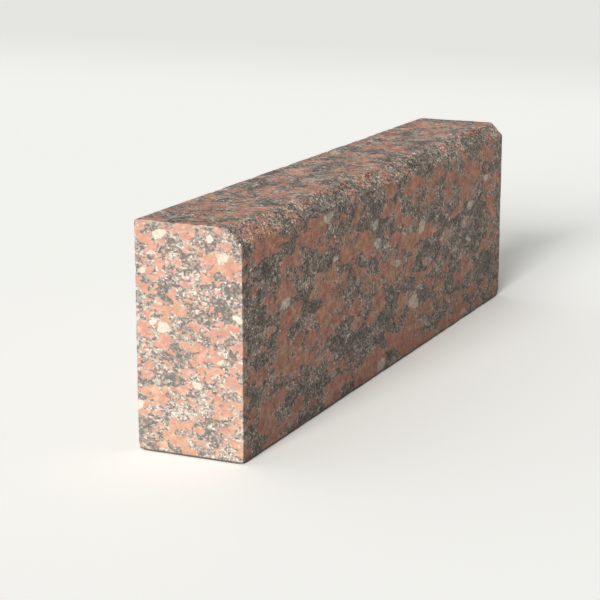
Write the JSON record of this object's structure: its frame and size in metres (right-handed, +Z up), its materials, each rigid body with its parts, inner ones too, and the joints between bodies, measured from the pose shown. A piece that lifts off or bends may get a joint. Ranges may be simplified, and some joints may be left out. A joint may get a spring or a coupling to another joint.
{
  "type": "granite kerb stone",
  "caption": "Straight road kerb sawn from one block of pink-grey granite, oblong in section, with a bush-hammered chamfer along its top edge on the road side.",
  "frame": {"origin": "middle of the bedding face, on the surface that the kerb stands on", "axes": "+X along the kerb line, +Y from the road face to the back face, +Z up; the chamfer is on the -Y side"},
  "size_m": [1, 0.15, 0.3],
  "materials": {
    "granite": "sawn ends and bed, finely dressed top and road face, bush-hammered chamfer"
  },
  "bodies": {
    "root": {"kerb_stone": "granite"}
  },
  "joints": []
}
